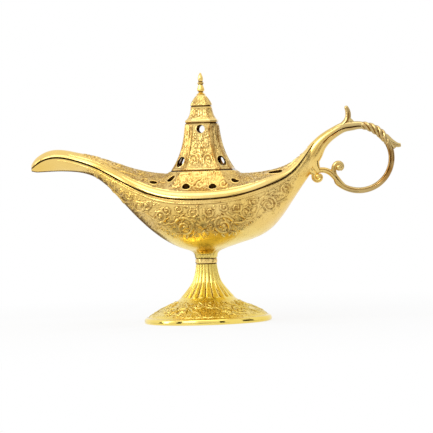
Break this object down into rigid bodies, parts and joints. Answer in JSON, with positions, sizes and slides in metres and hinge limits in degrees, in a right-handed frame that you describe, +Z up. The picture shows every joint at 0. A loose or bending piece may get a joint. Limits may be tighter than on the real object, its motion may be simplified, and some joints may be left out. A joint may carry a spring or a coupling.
{
  "type": "footed lamp-shaped incense burner",
  "caption": "Footed boat-shaped incense burner with a long spout, loop handle, fluted stem, and a lift-off cover that carries a pierced tower.",
  "frame": {"origin": "centre of the foot's lower face, on the pedestal's axis, at the surface that the burner stands on", "axes": "+Z up; -X towards the spout and +X towards the handle; Y across, with the plane of symmetry at Y = 0"},
  "size_m": [0.2053, 0.0708, 0.1383],
  "materials": {
    "bowl_gold": "bright gold plating over a chased casting, darker in the recesses",
    "cover_gold": "bright gold plating, polished rim band and chased deck",
    "tower_gold": "bright gold plating over a chased casting",
    "pedestal_gold": "bright gold plating, polished edge",
    "handle_gold": "bright gold plating, polished",
    "polished_gold": "polished gold plating",
    "dish_brass": "plain spun brass, heat-dulled",
    "fastener_steel": "plain steel fasteners"
  },
  "bodies": {
    "base": {"pedestal": "pedestal_gold", "collar_ring": "polished_gold", "foot_washer": "fastener_steel", "foot_bolt": "fastener_steel", "bowl": "bowl_gold", "incense_dish": "dish_brass", "bowl_nut": "fastener_steel", "handle": "handle_gold", "handle_screw": "fastener_steel"},
    "cover": {"cover": "cover_gold", "tower": "tower_gold", "finial": "polished_gold", "tower_screws": "fastener_steel"}
  },
  "joints": [
    {"name": "cover_lift", "type": "slide", "parent": "base", "child": "cover", "axis": [0, 0, 1], "range_m": [0, 0.06]}
  ]
}
